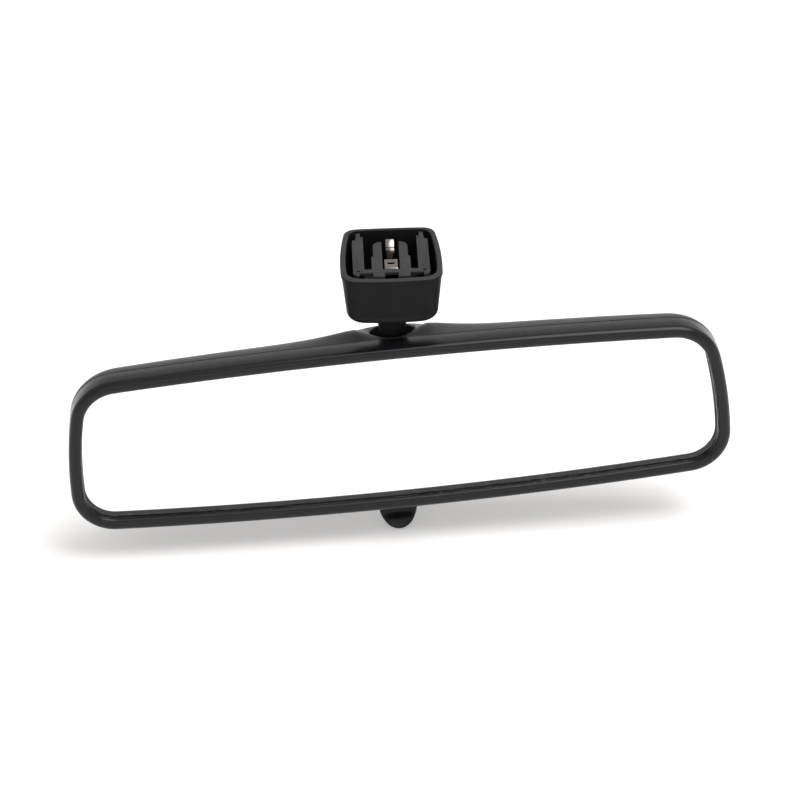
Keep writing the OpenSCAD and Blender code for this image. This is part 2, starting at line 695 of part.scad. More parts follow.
// The lever upright about its pivot: cheeks and crank above, shank and paddle below
module lever_upright() {
    difference() {
        union() {
            both_sides() translate([cheek_in, 0, 0]) rotate([90, 0, 90]) linear_extrude(cheek_t) hull() {
                circle(r = hub_r, $fn = 32);
                translate([0, crank_r]) circle(r = 2.1, $fn = 32);
            }
            both_sides() block(cheek_in, cheek_in + cheek_t, -shank_t / 2, shank_t / 2, -5, 0);
            block(-6, 6, -shank_t / 2, shank_t / 2, -9.5, -4);
            translate([0, shank_t / 2, 0]) rotate([90, 0, 0]) linear_extrude(shank_t) paddle_front();
            translate([0, 0, crank_r]) rod_x(crank_pin_r, -cheek_in - 1, cheek_in + 1);
        }
        rod_x(lever_pin_r + 0.05, -10, 10);
        // Finger scoop in the driver's side
        translate([0, -shank_t / 2 - 9.2, -16.4]) rod_x(11, -10, 10);
        translate([0, shank_t / 2 + 13.6, -17.5]) rod_x(14, -10, 10);
    }
}

module day_night_lever() {
    color([0.16, 0.16, 0.16]) in_head() translate([lever_x, pivot_y, pivot_z])
        rotate([-lever_flip / 2, 0, 0]) lever_upright();
}

foot_cover();
rail_insert();
spring_clip();
clip_rivet();
ball_stem();
stem_screws();
upper_ball_seat();
lower_ball_seat();
carrier_bracket();
socket_cap();
cap_screws();
pressure_pad();
pressure_spring();
spring_plug();
pivot_pins();
front_bezel();
rear_shell();
prism_glass();
mirror_silvering();
foam_backing();
mechanism_frame();
frame_screws();
lever_pin();
detent_spring();
detent_screw();
stop_bumpers();
day_night_lever();
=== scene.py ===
"""Interior rearview mirror: finished meshes, materials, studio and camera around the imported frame."""
import json
import math

import bmesh
import bpy
from mathutils import Matrix, Vector
from mathutils.bvhtree import BVHTree


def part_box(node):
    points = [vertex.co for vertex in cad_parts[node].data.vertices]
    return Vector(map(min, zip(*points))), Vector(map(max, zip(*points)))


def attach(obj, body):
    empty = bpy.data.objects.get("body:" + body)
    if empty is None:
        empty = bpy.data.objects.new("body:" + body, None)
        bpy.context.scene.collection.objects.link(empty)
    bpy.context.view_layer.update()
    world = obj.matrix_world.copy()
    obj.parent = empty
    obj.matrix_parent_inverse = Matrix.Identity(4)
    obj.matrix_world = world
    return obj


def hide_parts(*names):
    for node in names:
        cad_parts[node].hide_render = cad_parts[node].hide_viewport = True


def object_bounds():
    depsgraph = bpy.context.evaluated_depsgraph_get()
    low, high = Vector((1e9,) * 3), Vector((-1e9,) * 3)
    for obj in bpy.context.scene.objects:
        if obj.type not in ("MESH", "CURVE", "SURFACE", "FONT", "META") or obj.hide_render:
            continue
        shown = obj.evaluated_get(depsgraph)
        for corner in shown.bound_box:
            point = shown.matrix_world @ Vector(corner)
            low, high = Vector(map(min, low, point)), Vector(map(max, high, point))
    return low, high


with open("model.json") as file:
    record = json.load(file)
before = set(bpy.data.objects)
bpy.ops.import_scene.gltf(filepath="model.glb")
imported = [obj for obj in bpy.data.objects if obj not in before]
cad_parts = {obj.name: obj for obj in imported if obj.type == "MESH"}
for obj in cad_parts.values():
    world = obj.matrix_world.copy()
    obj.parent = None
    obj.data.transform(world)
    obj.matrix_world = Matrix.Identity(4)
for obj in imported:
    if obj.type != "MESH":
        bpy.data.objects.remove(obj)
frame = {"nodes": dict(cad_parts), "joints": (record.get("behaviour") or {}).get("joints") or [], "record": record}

cad_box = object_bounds()

# ---- frames: lengths are millimetres in the foot's, the head's or the lever's own frame ----

MM = 0.001
joints = {joint["name"]: joint for joint in frame["joints"]}
x_axis = Vector(joints["day_night_tilt"]["axis"]).normalized()
y_axis = Vector(joints["roll"]["axis"]).normalized()
head_turn = Matrix((x_axis, y_axis, x_axis.cross(y_axis))).transposed().to_4x4()
lever_lean = math.radians(joints["lever_flip"]["range_deg"][1]) / 2

FOOT = Matrix.Scale(MM, 4)
HEAD = Matrix.Translation(joints["swivel"]["pos_m"]) @ head_turn @ FOOT
LEVER = (Matrix.Translation(joints["lever_flip"]["pos_m"]) @ head_turn
         @ Matrix.Rotation(-lever_lean, 4, "X") @ FOOT)


def local_box(node, place):
    """Lowest and highest corner of a CAD node, in one of the frames above."""
    inverse = place.inverted()
    points = [inverse @ vertex.co for vertex in frame["nodes"][node].data.vertices]
    low = Vector(min(p[i] for p in points) for i in range(3))
    high = Vector(max(p[i] for p in points) for i in range(3))
    return low, high


BEZEL_W = 4.75
bezel_low, bezel_high = local_box("front_bezel", HEAD)
shell_low, shell_high = local_box("rear_shell", HEAD)
mid_z = (bezel_low.z + bezel_high.z) / 2
glass_y = local_box("prism_glass", HEAD)[0].y
parting_y = shell_low.y
half_w = bezel_high.x - BEZEL_W
half_h = (bezel_high.z - bezel_low.z) / 2 - BEZEL_W

foot_low, foot_high = local_box("foot_cover", FOOT)
stem_low, stem_high = local_box("ball_stem", FOOT)
ball_z = joints["swivel"]["pos_m"][2] / MM

# ---- outlines: four bowed sides with tangent corner arcs ----
# half, top and low are the reach to the sides, up and down; names ending in _r and _corner are radii;
# side_mid is the height of the side arcs' centres

HEAD_SHAPE = {"half": half_w, "top": half_h, "low": half_h, "top_r": 1860, "low_r": 1720, "side_r": 156,
              "side_mid": -15.6, "top_corner": 13, "low_corner": 11}
FOOT_SHAPE = {"half": foot_high.x, "top": foot_high.y, "low": -foot_low.y, "top_r": 400, "low_r": 114,
              "side_r": 130, "side_mid": -5.7, "top_corner": 4.3, "low_corner": 5.6}


def crossing(c1, r1, c2, r2, side):
    """Where two circles cross."""
    gap = c2 - c1
    along = gap.normalized()
    a = (r1 * r1 - r2 * r2 + gap.length_squared) / (2 * gap.length)
    h = math.sqrt(r1 * r1 - a * a)
    return c1 + a * along + side * h * Vector((-along.y, along.x))


def arc(centre, radius, start, end, steps):
    angles = [start + (end - start) * i / steps for i in range(steps)]
    return [centre + radius * Vector((math.cos(a), math.sin(a))) for a in angles]


def heading(v):
    return math.atan2(v.y, v.x)


def mirrored(v):
    return Vector((-v.x, v.y))


def outline(shape, grow=0.0, long_steps=60, side_steps=24, corner_steps=16):
    """The outline grown outwards, starting low on the right side and going round by the top."""
    top_c = Vector((0, shape["top"] - shape["top_r"]))
    low_c = Vector((0, shape["low_r"] - shape["low"]))
    side_c = Vector((shape["half"] - shape["side_r"], shape["side_mid"]))
    up_r, down_r, side_r = shape["top_corner"], shape["low_corner"], shape["side_r"]
    up = crossing(top_c, shape["top_r"] - up_r, side_c, side_r - up_r, -1)
    down = crossing(low_c, shape["low_r"] - down_r, side_c, side_r - down_r, 1)
    a0, a1 = heading(down - side_c), heading(up - side_c)
    a2, a3 = heading(up - top_c), heading(down - low_c)
    half, full = math.pi, 2 * math.pi
    return (arc(side_c, side_r + grow, a0, a1, side_steps)
            + arc(up, up_r + grow, a1, a2, corner_steps)
            + arc(top_c, shape["top_r"] + grow, a2, half - a2, long_steps)
            + arc(mirrored(up), up_r + grow, half - a2, half - a1, corner_steps)
            + arc(mirrored(side_c), side_r + grow, half - a1, half - a0, side_steps)
            + arc(mirrored(down), down_r + grow, half - a0, half - a3, corner_steps)
            + arc(low_c, shape["low_r"] + grow, half - a3, full + a3, long_steps)
            + arc(down, down_r + grow, full + a3, full + a0, corner_steps))


# ---- mesh building ----

def full_turn(steps):
    return [2 * math.pi * i / steps for i in range(steps)]


def quarter_turn(steps):
    return [math.pi / 2 * i / steps for i in range(steps + 1)]


def eased(value, start, end):
    """0 up to start and 1 from end, with a smooth change between them."""
    t = min(1.0, max(0.0, (value - start) / (end - start)))
    return t * t * (3 - 2 * t)


def spread(value, width, power=2):
    """A bump: 1 at zero, fading over width; a higher power gives a flatter top."""
    return math.exp(-abs(value / width) ** power)


def finish_mesh(name, bm, place, body, slot, nodes, sharp=35):
    """Turns a bmesh into a piece in metres, which rides on a body and stands for CAD nodes."""
    bm.transform(place)
    bmesh.ops.recalc_face_normals(bm, faces=bm.faces)
    mesh = bpy.data.meshes.new(name)
    bm.to_mesh(mesh)
    bm.free()
    mesh.shade_smooth()
    mesh.set_sharp_from_angle(angle=math.radians(sharp))
    piece = bpy.data.objects.new(name, mesh)
    bpy.context.scene.collection.objects.link(piece)
    mesh.materials.append(materials[slot])
    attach(piece, body)
    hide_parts(*nodes)


def add_rings(bm, rings, closed=False, first=None, last=None):
    """Skins a list of rings; closed joins the last ring to the first, first and last are end tips."""
    rows = [[bm.verts.new(p) for p in ring] for ring in rings]
    count = len(rows[0])
    pairs = list(zip(rows, rows[1:])) + ([(rows[-1], rows[0])] if closed else [])
    for a, b in pairs:
        for i in range(count):
            j = (i + 1) % count
            bm.faces.new((a[i], a[j], b[j], b[i]))
    for row, tip in ((rows[0], first), (rows[-1], last)):
        if tip is not None:
            point = bm.verts.new(tip)
            for i in range(count):
                bm.faces.new((row[i], row[(i + 1) % count], point))
    bmesh.ops.recalc_face_normals(bm, faces=bm.faces)


def add_lathe(bm, profile, centre=(0, 0, 0), segments=96):
    """Turns a profile of (radius, height) about Z; the profile's ends lie on the axis."""
    def ring(radius, z):
        return [Vector(centre) + Vector((radius * math.cos(a), radius * math.sin(a), z))
                for a in full_turn(segments)]

    add_rings(bm, [ring(radius, z) for radius, z in profile[1:-1]],
              first=Vector(centre) + Vector((0, 0, profile[0][1])),
              last=Vector(centre) + Vector((0, 0, profile[-1][1])))


def add_block(bm, low, high, edge):
    """A block with rounded edges."""
    made = bmesh.ops.create_cube(bm, size=1)["verts"]
    low, high = Vector(low), Vector(high)
    for vertex in made:
        vertex.co = Vector(low[i] + (vertex.co[i] + 0.5) * (high[i] - low[i]) for i in range(3))
    edges = list({e for v in made for e in v.link_edges})
    bmesh.ops.bevel(bm, geom=edges, offset=edge, segments=3, profile=0.5, affect="EDGES")


def add_tube(bm, path, radius, sides=12):
    """A round bead along a closed path."""
    rings = []
    for i, point in enumerate(path):
        along = (path[(i + 1) % len(path)] - path[i - 1]).normalized()
        across = along.cross(Vector((0, 0, 1))).normalized()
        up = across.cross(along)
        rings.append([point + radius * (math.cos(a) * across + math.sin(a) * up)
                      for a in full_turn(sides)])
    add_rings(bm, rings, closed=True)


def spline(points, steps=6):
    """A smooth (Catmull-Rom) curve through 2-D points."""
    out = []
    for i in range(len(points) - 1):
        p0, p1 = points[max(0, i - 1)], points[i]
        p2, p3 = points[i + 1], points[min(len(points) - 1, i + 2)]
        for k in range(steps):
            t = k / steps
            out.append(tuple(0.5 * (2 * b + (c - a) * t + (2 * a - 5 * b + 4 * c - d) * t * t
                                    + (3 * b - a - 3 * c + d) * t ** 3)
                             for a, b, c, d in zip(p0, p1, p2, p3)))
    return out + [tuple(points[-1])]


# ---- materials: noise scales are waves per metre ----

CLOUD_SCALE = 45
MARK_SCALE = 160
RAMP_LOW, RAMP_HIGH = 0.3, 0.7
PALER = 2.2
WORN_FROM, WORN_TO = 0.515, 0.58
# Softness of the edge of the painted light band, in metres
PAINTED_LIGHT_BLUR = 0.0002
GRAIN_STRENGTH = 0.6


def new_material(name):
    material = bpy.data.materials.new(name)
    material.use_nodes = True
    nodes = material.node_tree.nodes
    return material, nodes, material.node_tree.links, nodes["Principled BSDF"]


def noise(nodes, links, scale, detail=3.0, stretch=(1, 1, 1), rough=0.5):
    """Noise laid out in the object's own space."""
    place = nodes.new("ShaderNodeTexCoord")
    mapping = nodes.new("ShaderNodeMapping")
    mapping.inputs["Scale"].default_value = stretch
    texture = nodes.new("ShaderNodeTexNoise")
    texture.inputs["Scale"].default_value = scale
    texture.inputs["Detail"].default_value = detail
    texture.inputs["Roughness"].default_value = rough
    links.new(place.outputs["Object"], mapping.inputs["Vector"])
    links.new(mapping.outputs["Vector"], texture.inputs["Vector"])
    return texture.outputs["Fac"]


def ranged(nodes, links, value, low, high, start=0.35, end=0.65):
    """A value's stretch from start to end, turned into low to high."""
    node = nodes.new("ShaderNodeMapRange")
    node.inputs["From Min"].default_value = start
    node.inputs["From Max"].default_value = end
    node.inputs["To Min"].default_value = low
    node.inputs["To Max"].default_value = high
    links.new(value, node.inputs["Value"])
    return node.outputs["Result"]


def ramp(nodes, links, value, low_colour, high_colour):
    """Two colours, blended along the middle of a noise's range."""
    node = nodes.new("ShaderNodeValToRGB")
    stops = ((RAMP_LOW, low_colour), (RAMP_HIGH, high_colour))
    for element, (place, colour) in zip(node.color_ramp.elements, stops):
        element.position = place
        element.color = (*colour, 1)
    links.new(value, node.inputs["Fac"])
    return node.outputs["Color"]


def scaled(colour, k):
    return tuple(min(1.0, c * k) for c in colour)


def surface(name, colour, rough, grain, depth, mottle=0.12, rough_spread=0.06, metallic=0.0, specular=0.5,
            stretch=(1, 1, 1), wear=0.3, wear_colour=None, painted_light_above=None):
    """Moulded plastic or metal: mottled colour, a fine grain in the surface, uneven gloss and worn edges.
    grain is waves per metre and depth is the relief in millimetres. The last argument is painted light:
    a height in metres above which the surface is painted paler, and its colour there, standing in for a
    highlight along a lip or for the lit part above painted shade lower down."""
    material, nodes, links, shader = new_material(name)
    shader.inputs["Metallic"].default_value = metallic
    shader.inputs["Specular IOR Level"].default_value = specular
    cloud = noise(nodes, links, CLOUD_SCALE, detail=5)
    base = ramp(nodes, links, cloud, scaled(colour, 1 - mottle), scaled(colour, 1 + mottle))
    # Handling marks: they vary the gloss and break up the paler wear along the edges
    marks = noise(nodes, links, MARK_SCALE, detail=8, stretch=(1, 2.5, 1), rough=0.65)
    pale = nodes.new("ShaderNodeMix")
    pale.data_type = "RGBA"
    pale.inputs["B"].default_value = (*(wear_colour or scaled(colour, PALER)), 1)
    links.new(base, pale.inputs["A"])
    edge = nodes.new("ShaderNodeNewGeometry").outputs["Pointiness"]
    edges = ranged(nodes, links, edge, 0.0, wear, start=WORN_FROM, end=WORN_TO)
    broken = nodes.new("ShaderNodeMath")
    broken.operation = "MULTIPLY"
    links.new(edges, broken.inputs[0])
    links.new(ranged(nodes, links, marks, 0.2, 1.0), broken.inputs[1])
    links.new(broken.outputs[0], pale.inputs["Factor"])
    finished = pale.outputs["Result"]
    # Painted light: above the given height the colour turns paler, with a soft edge; a painted highlight on a lip,
    # or the lit part over painted shade below
    if painted_light_above:
        height = nodes.new("ShaderNodeSeparateXYZ")
        links.new(nodes.new("ShaderNodeTexCoord").outputs["Object"], height.inputs["Vector"])
        painted_light_mix = nodes.new("ShaderNodeMix")
        painted_light_mix.data_type = "RGBA"
        painted_light_mix.inputs["B"].default_value = (*painted_light_above[1], 1)
        links.new(finished, painted_light_mix.inputs["A"])
        above = ranged(nodes, links, height.outputs["Z"], 0, 1, painted_light_above[0] - PAINTED_LIGHT_BLUR, painted_light_above[0] + PAINTED_LIGHT_BLUR)
        links.new(above, painted_light_mix.inputs["Factor"])
        finished = painted_light_mix.outputs["Result"]
    links.new(finished, shader.inputs["Base Color"])
    gloss = ranged(nodes, links, marks, rough - rough_spread, rough + rough_spread)
    links.new(gloss, shader.inputs["Roughness"])
    fine = noise(nodes, links, grain, detail=2, stretch=stretch)
    bump = nodes.new("ShaderNodeBump")
    bump.inputs["Strength"].default_value = GRAIN_STRENGTH
    bump.inputs["Distance"].default_value = depth * MM
    links.new(fine, bump.inputs["Height"])
    links.new(bump.outputs["Normal"], shader.inputs["Normal"])
    return material


def glass(name):
    """Clear prism glass with the faintest smears in its polish."""
    material, nodes, links, shader = new_material(name)
    shader.inputs["Transmission Weight"].default_value = 1
    shader.inputs["IOR"].default_value = 1.52
    tint = ramp(nodes, links, noise(nodes, links, 12, detail=2), (0.985, 0.995, 0.99), (1, 1, 1))
    links.new(tint, shader.inputs["Base Color"])
    smear = noise(nodes, links, 30, detail=6, stretch=(1, 1, 4))
    links.new(ranged(nodes, links, smear, 0.0, 0.012, 0.5, 0.8), shader.inputs["Roughness"])
    return material


def silver(name):
    """Vacuum-coated reflector on the back of the glass."""
    material, nodes, links, shader = new_material(name)
    shader.inputs["Metallic"].default_value = 1
    cloud = noise(nodes, links, 20, detail=4)
    tint = ramp(nodes, links, cloud, (0.95, 0.955, 0.955), (0.97, 0.97, 0.965))
    links.new(tint, shader.inputs["Base Color"])
    links.new(ranged(nodes, links, cloud, 0.0, 0.01), shader.inputs["Roughness"])
    return material


FINISHES = {
    # foot_plastic: paler from 0.4 mm below the open rim up, a painted highlight along the lip
    "foot_plastic": dict(colour=(0.0045, 0.0045, 0.0056), rough=0.5, grain=2600, depth=0.01, specular=0.11,
                         painted_light_above=(-0.0004, (0.036, 0.036, 0.038))),
    "rail_plastic": dict(colour=(0.02, 0.02, 0.021), rough=0.55, grain=1800, depth=0.015, specular=0.3),
    # clip_steel: its dark colour is painted shade for the parts sunk deep in the foot; from 2.8 mm below the
    # foot's rim up it turns to the steel's paler tone, where the plate and crests catch the light
    "clip_steel": dict(colour=(0.02, 0.016, 0.013), rough=0.22, grain=2500, depth=0.004, metallic=1,
                       stretch=(0.15, 1, 1), wear_colour=(0.12, 0.11, 0.1),
                       painted_light_above=(-0.0028, (0.24, 0.225, 0.215))),
    "fastener_steel": dict(colour=(0.42, 0.42, 0.43), rough=0.32, grain=1500, depth=0.006, metallic=1,
                           wear_colour=(0.65, 0.65, 0.66)),
    "stem_metal": dict(colour=(0.013, 0.013, 0.0138), rough=0.42, grain=1400, depth=0.02, specular=0.2,
                       wear_colour=(0.02, 0.02, 0.021)),
    "seat_plastic": dict(colour=(0.62, 0.58, 0.48), rough=0.38, grain=1100, depth=0.01),
    "carrier_plastic": dict(colour=(0.03, 0.03, 0.031), rough=0.48, grain=1300, depth=0.02),
    "spring_steel": dict(colour=(0.4, 0.39, 0.38), rough=0.28, grain=3000, depth=0.003, metallic=1,
                         stretch=(1, 0.2, 1)),
    "plug_brass": dict(colour=(0.62, 0.46, 0.2), rough=0.3, grain=1600, depth=0.006, metallic=1,
                       wear_colour=(0.85, 0.7, 0.4)),
    "pin_steel": dict(colour=(0.5, 0.5, 0.51), rough=0.22, grain=2200, depth=0.004, metallic=1,
                      stretch=(0.2, 1, 1)),
    "bezel_plastic": dict(colour=(0.0068, 0.0068, 0.0082), rough=0.26, grain=1500, depth=0.0015,
                          rough_spread=0.015, mottle=0.06, wear=0.03, specular=0.26),
    "shell_plastic": dict(colour=(0.042, 0.0415, 0.041), rough=0.42, grain=1700, depth=0.01, mottle=0.08,
                          specular=0.3),
    "foam": dict(colour=(0.02, 0.02, 0.02), rough=0.9, grain=900, depth=0.3, mottle=0.3, specular=0.2),
    "frame_plastic": dict(colour=(0.045, 0.045, 0.046), rough=0.5, grain=1200, depth=0.02),
    "bumper_rubber": dict(colour=(0.012, 0.012, 0.012), rough=0.8, grain=900, depth=0.04, specular=0.3),
    "lever_plastic": dict(colour=(0.009, 0.009, 0.0095), rough=0.42, grain=1700, depth=0.012, specular=0.2),
}
materials = {name: surface(name, **finish) for name, finish in FINISHES.items()}
materials["mirror_glass"] = glass("mirror_glass")
materials["silvering"] = silver("silvering")

# ---- foot cover: insets are measured at its widest, heights from its open rim ----
# MOUTH and LIP are (inset, height), from the inside wall up and over to the outside; BACK_THIN is the
# share by which the mouth's back half reaches further out

LIP_PROUD = 0.3
LIP_DEEP = 1.4
FOOT_WALL = 2.4
FOOT_TAPER = 1.6
FOOT_BOTTOM_R = 5
FOOT_INNER_R = 2.5
FOOT_FLOOR = 2.5
NECK_HOLE_R = 6.15
BACK_THIN = 0.05
MOUTH = [(FOOT_WALL, -2.4), (2.1, -0.9), (2.0, -0.45), (1.86, -0.16), (1.6, -0.03), (1.3, 0)]
LIP = [(0.75, 0), (0.45, -0.04), (0.2, -0.16), (0.05, -0.36), (0, -0.62), (0, -LIP_DEEP + 0.25),
       (0.06, -LIP_DEEP + 0.08), (LIP_PROUD - 0.04, -LIP_DEEP - 0.05), (LIP_PROUD, -LIP_DEEP - 0.3)]


def foot_cover():
    """Cover with a rounded, slightly proud lip, thinner at the back, and a round hole for the neck."""
    bottom, floor = foot_low.z, foot_low.z + FOOT_FLOOR
    hole = [(0.9, bottom), (0.4, bottom + 0.04), (0.1, bottom + 0.2), (0, bottom + 0.4), (0, floor - 0.3),
            (0.3, floor)]
    inner = [(FOOT_TAPER + FOOT_WALL + FOOT_INNER_R * (1 - math.cos(a)),
              floor + FOOT_INNER_R * (1 - math.sin(a))) for a in reversed(quarter_turn(7))]
    outer = [(FOOT_TAPER + FOOT_BOTTOM_R * (1 - math.cos(a)), bottom + FOOT_BOTTOM_R * (1 - math.sin(a)))
             for a in quarter_turn(14)]
    inside_flat = (inner[0][0] + 1, floor)
    bottom_flat = (outer[-1][0] + 0.8, bottom)
    shape = outline(FOOT_SHAPE, long_steps=30, side_steps=24, corner_steps=10)

    def ring(inset, z, back=0.0):
        k = 1 - inset / foot_high.x
        return [(p.x * k, p.y * (k + (back if p.y > 0 else 0)), z) for p in shape]

    def round_ring(radius, z):
        return [(radius * p.normalized().x, radius * p.normalized().y, z) for p in shape]

    bm = bmesh.new()
    add_rings(bm, [round_ring(NECK_HOLE_R + wider, z) for wider, z in hole]
              + [ring(inset, z) for inset, z in [inside_flat] + inner]
              + [ring(inset, z, BACK_THIN) for inset, z in MOUTH]
              + [ring(inset, z) for inset, z in LIP + outer + [bottom_flat]], closed=True)
    finish_mesh("foot_cover_skin", bm, FOOT, "foot", "foot_plastic", ["foot_cover"], sharp=50)


foot_cover()

# ---- ball stem ----

BALL_R = 5
FLANGE_EDGE = 0.4
# Radius and height above the ball's centre, from the ball up to the flange
NECK = [(3.2, 3.84), (3.3, 6.6), (3.8, 8.4), (4.4, 11.2), (4.9, 14.6), (5.6, 17.6), (5.95, 21),
        (5.95, 26.5)]


def ball_stem():
    """Lathe-turned ball and flared neck on a rounded flange."""
    bm = bmesh.new()
    start = math.asin(NECK[0][0] / BALL_R)
    steps = 30
    ball = [(BALL_R * math.sin(a), BALL_R * math.cos(a))
            for a in [math.pi + (start - math.pi) * i / steps for i in range(steps)]]
    add_lathe(bm, [(0, -BALL_R)] + ball[1:] + spline(NECK) + [(0, NECK[-1][1])], centre=(0, 0, ball_z))
    add_block(bm, (stem_low.x, stem_low.y, foot_low.z + FOOT_FLOOR), stem_high, FLANGE_EDGE)
    finish_mesh("ball_stem_turned", bm, FOOT, "foot", "stem_metal", ["ball_stem"])


ball_stem()

# ---- head: bezel, shell, glass ----

BEZEL_REAR = 6
BEZEL_PROUD = 0.1
BEZEL_LIP_R = BEZEL_W / 2
BEZEL_CORNER = 0.35
SPIGOT_OUT, SPIGOT_IN = 3.4, 2.3
SPIGOT_LONG = 1


def head_ring(grow, y):
    return [(p.x, y, p.y + mid_z) for p in outline(HEAD_SHAPE, grow)]


def front_bezel():
    """Round-fronted frame swept round the glass, with a spigot behind that goes into the shell."""
    steps = 28
    front = [(BEZEL_LIP_R + BEZEL_LIP_R * math.cos(a), -BEZEL_PROUD - BEZEL_LIP_R * math.sin(a))
             for a in [math.pi * (1 - i / steps) for i in range(steps + 1)]]
    back = [(BEZEL_W, BEZEL_REAR - BEZEL_CORNER), (BEZEL_W - 0.1, BEZEL_REAR - 0.1),
            (BEZEL_W - BEZEL_CORNER, BEZEL_REAR), (SPIGOT_OUT + 0.2, BEZEL_REAR),
            (SPIGOT_OUT, BEZEL_REAR + SPIGOT_LONG), (SPIGOT_IN, BEZEL_REAR + SPIGOT_LONG), (SPIGOT_IN, 0)]
    bm = bmesh.new()
    add_rings(bm, [head_ring(grow, glass_y + y) for grow, y in front + back], closed=True)
    finish_mesh("front_bezel_swept", bm, HEAD, "head", "bezel_plastic", ["front_bezel"], sharp=40)


front_bezel()

# The shell's top: each form's size, its half width across and, along Y from the parting line, its place
# and length
SHELL_WALL = 2.1
END_TAPER = 0.25
DOME_NARROWS = 0.3
NECK_BULGE, NECK_BULGE_W = 3, 26
NECK_RISE, NECK_RISE_W, NECK_RISE_FULL_Y = 4, 21, 9
SADDLE, SADDLE_W, SADDLE_Y, SADDLE_LONG = 5.8, 9.9, 9, 5
COLLAR, COLLAR_W, COLLAR_Y, COLLAR_LONG = 8.9, 26, 19.9, 3.6
FLAT_TOPPED = 4
LIFT_FULL_Z = 34
shell_depth = shell_high.y - parting_y - NECK_BULGE


def dome_ring(grow, depth, degrees):
    """One ring of the shell's dome: 0 degrees at the parting line, 90 at the back. The top rises towards
    the neck, dips in a saddle in front of it and stands up in a collar behind it."""
    s, rise = math.cos(math.radians(degrees)), math.sin(math.radians(degrees))
    ring = []
    for p in outline(HEAD_SHAPE, grow):
        x, z = p.x * s ** DOME_NARROWS, p.y * s
        y = (depth * (1 - END_TAPER * (x / half_w) ** 2) + NECK_BULGE * spread(x, NECK_BULGE_W)) * rise
        lift = (NECK_RISE * spread(x, NECK_RISE_W) * eased(y, 0, NECK_RISE_FULL_Y)
                - SADDLE * spread(x, SADDLE_W, FLAT_TOPPED) * spread(y - SADDLE_Y, SADDLE_LONG)
                + COLLAR * spread(x, COLLAR_W, FLAT_TOPPED) * spread(y - COLLAR_Y, COLLAR_LONG))
        ring.append((x, parting_y + y, mid_z + z + lift * max(0, z / LIFT_FULL_Z) ** 2))
    return ring


def cut(bm, *cutters):
    """Cuts closed meshes out of another and frees them all; gives the result as a new bmesh."""
    made = []
    for source in (bm, *cutters):
        mesh = bpy.data.meshes.new("cut")
        source.to_mesh(mesh)
        source.free()
        made.append(bpy.data.objects.new("cut", mesh))
        bpy.context.scene.collection.objects.link(made[-1])
    for tool in made[1:]:
        modifier = made[0].modifiers.new("cut", "BOOLEAN")
        modifier.solver = "EXACT"
        modifier.object = tool
    result = bmesh.new()
    evaluated = made[0].evaluated_get(bpy.context.evaluated_depsgraph_get())
    result.from_mesh(evaluated.to_mesh())
    for piece in made:
        bpy.data.meshes.remove(piece.data)
    return result


def rounded_slot(x0, x1, y0, y1, radius, steps=8):
    """A rectangle with round corners, as points in the XY plane."""
    corners = [(x1 - radius, y1 - radius, 0), (x0 + radius, y1 - radius, 90),
               (x0 + radius, y0 + radius, 180), (x1 - radius, y0 + radius, 270)]
    path = []
    for x, y, start in corners:
        angles = [math.radians(start + 90 * i / steps) for i in range(steps + 1)]
        path += [Vector((x + radius * math.cos(a), y + radius * math.sin(a))) for a in angles]
    return path


def prism(path, z0, z1):
    """A closed upright prism on a path in the XY plane."""
    bm = bmesh.new()
    middle = sum(path, Vector((0, 0))) / len(path)
    add_rings(bm, [[(p.x, p.y, z) for p in path] for z in (z0, z1)],
              first=(middle.x, middle.y, z0), last=(middle.x, middle.y, z1))
    return bm


# Heights and depths in the head's frame, except for those from the parting line: RABBET_START,
# RABBET_DEEP and SLOT_START
DOME_DEGREES = [0, 1, 2.5, 4.5, 7, 10, *range(14, 79, 4), 81, 84, 86, 88, 89, 89.5, 89.8, 89.95]
INSIDE_FROM = 4.4
RABBET, RABBET_START, RABBET_DEEP = 3.75, 0.05, 1.2
NECK_HOLE_AT, NECK_HOLE = Vector((0.6, 0.4)), 8.8
SLOT_HALF, SLOT_START, SLOT_BACK_Y, SLOT_CORNER = 8, 1.5, 3.6, 1.6
NECK_HOLE_CUT = (4, 24)
SLOT_CUT = (-70, -44)
ABOVE_SHELL, BELOW_SHELL = 60, -90
BEAD_R = 0.4
BEAD_SUNK = 0.7 * BEAD_R


def rear_shell():
    """Domed shell with beaded edges round the neck's hole and the lever's slot."""
    outer = [dome_ring(BEZEL_W, shell_depth, a) for a in reversed(DOME_DEGREES)]
    rabbet = [head_ring(RABBET, parting_y + y) for y in (RABBET_START, RABBET_DEEP)]
    inner = [dome_ring(BEZEL_W - SHELL_WALL, shell_depth - SHELL_WALL, a) for a in DOME_DEGREES
             if a > INSIDE_FROM]
    apex = parting_y + shell_depth + NECK_BULGE
    bm = bmesh.new()
    add_rings(bm, outer + rabbet + inner, first=(0, apex, mid_z), last=(0, apex - SHELL_WALL, mid_z))
    tree = BVHTree.FromBMesh(bm)
    lever_x = (HEAD.inverted() @ Vector(joints["lever_flip"]["pos_m"])).x
    hole = [NECK_HOLE_AT + NECK_HOLE * Vector((math.cos(a), math.sin(a))) for a in full_turn(96)]
    slot = rounded_slot(lever_x - SLOT_HALF, lever_x + SLOT_HALF, parting_y + SLOT_START, SLOT_BACK_Y,
                        SLOT_CORNER)
    shell = cut(bm, prism(hole, *NECK_HOLE_CUT), prism(slot, *SLOT_CUT))
    for path, start, down in ((hole, ABOVE_SHELL, -1), (slot, BELOW_SHELL, 1)):
        hits = [tree.ray_cast(Vector((p.x, p.y, start)), Vector((0, 0, down)))[0] for p in path]
        add_tube(shell, [hit + Vector((0, 0, down * BEAD_SUNK)) for hit in hits], BEAD_R)
    finish_mesh("rear_shell_dome", shell, HEAD, "head", "shell_plastic", ["rear_shell"], sharp=40)


rear_shell()

